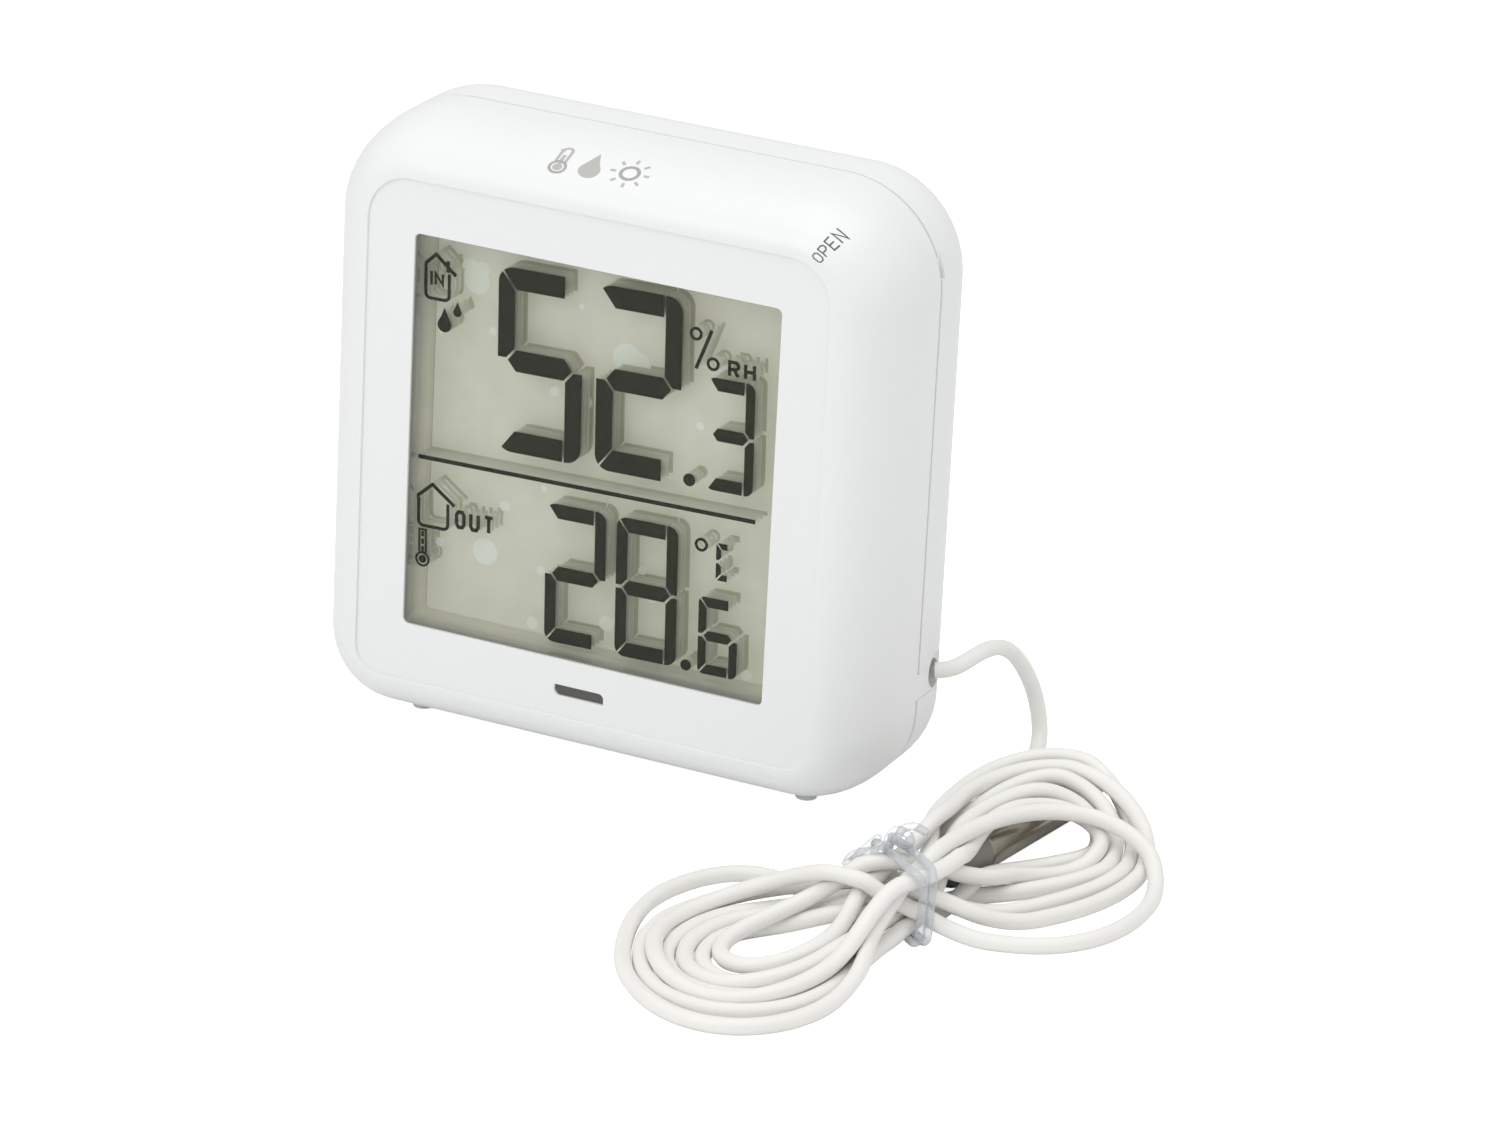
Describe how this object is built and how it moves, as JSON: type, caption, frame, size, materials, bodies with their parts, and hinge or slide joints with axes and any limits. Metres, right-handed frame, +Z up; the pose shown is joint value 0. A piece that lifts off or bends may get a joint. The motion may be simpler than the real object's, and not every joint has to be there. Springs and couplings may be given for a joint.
{
  "type": "digital maximum minimum thermometer",
  "caption": "Free-standing electronic max-min thermometer and hygrometer with a large display, pull-off back and a wired steel probe on a tied hank of cord.",
  "frame": {"origin": "centre of the case's box on the surface that its feet stand on", "axes": "+X the viewer's right, -Y out of the display, +Z up"},
  "size_m": [0.132, 0.1101, 0.0874],
  "materials": {
    "housing_white": "satin moulded ABS, slightly glossy",
    "inner_plastic": "moulded ABS",
    "clear_window": "clear acrylic",
    "lcd_glass": "display glass with polariser",
    "reflector_film": "matt grey-green reflector",
    "black_rubber": "matt",
    "vent_grey": "matt",
    "circuit_board": "solder resist",
    "black_resin": "moulded resin",
    "steel": "zinc plated",
    "nickel": "nickel plated",
    "cell_wrap": "printed sleeve",
    "cord_white": "soft off-white PVC",
    "tie_clear": "clear PVC twist tie",
    "probe_sleeve": "grey shrink sleeve",
    "probe_steel": "polished stainless steel"
  },
  "bodies": {
    "case": {"front_housing": "housing_white", "display_window": "clear_window", "lcd_glass": "lcd_glass", "lcd_holder": "inner_plastic", "lcd_reflector": "reflector_film", "zebra_strip": "black_rubber", "vent_insert": "vent_grey", "main_board": "circuit_board", "chip_blob": "black_resin", "quartz_crystal": "steel", "capacitor": "black_resin", "humidity_sensor": "inner_plastic", "indoor_thermistor": "black_resin", "battery_tray": "inner_plastic", "cable_clamp": "inner_plastic", "clamp_screw": "steel", "battery_1": "cell_wrap", "battery_2": "cell_wrap", "contact_spring_1": "nickel", "contact_spring_2": "nickel", "bridge_contact": "nickel", "positive_contact": "nickel", "negative_contact": "nickel", "cable_connector": "inner_plastic", "cord_lead": "cord_white", "cord_hank": "cord_white", "hank_tie": "tie_clear", "probe_sleeve": "probe_sleeve", "probe_tube": "probe_steel", "board_screw_1": "steel", "board_screw_2": "steel", "tray_screw_1": "steel", "tray_screw_2": "steel", "tray_screw_3": "steel", "tray_screw_4": "steel", "tact_switch_1": "black_resin", "tact_switch_2": "black_resin", "tact_switch_3": "black_resin"},
    "rear_cover": {"rear_cover": "housing_white"},
    "max_min_button": {"button_max_min": "housing_white", "tact_plunger_1": "steel"},
    "reset_button": {"button_reset": "housing_white", "tact_plunger_2": "steel"},
    "unit_button": {"button_unit": "housing_white", "tact_plunger_3": "steel"}
  },
  "joints": [
    {"name": "rear_cover_pull", "type": "slide", "parent": "case", "child": "rear_cover", "axis": [0, 1, 0], "range_m": [0, 0.03]},
    {"name": "max_min_button_press", "type": "slide", "parent": "case", "child": "max_min_button", "axis": [0, -1, 0], "range_m": [0, 0.0005], "stiffness_N_per_m": 800},
    {"name": "reset_button_press", "type": "slide", "parent": "case", "child": "reset_button", "axis": [0, -1, 0], "range_m": [0, 0.0005], "stiffness_N_per_m": 800},
    {"name": "unit_button_press", "type": "slide", "parent": "case", "child": "unit_button", "axis": [0, -1, 0], "range_m": [0, 0.0005], "stiffness_N_per_m": 800}
  ]
}
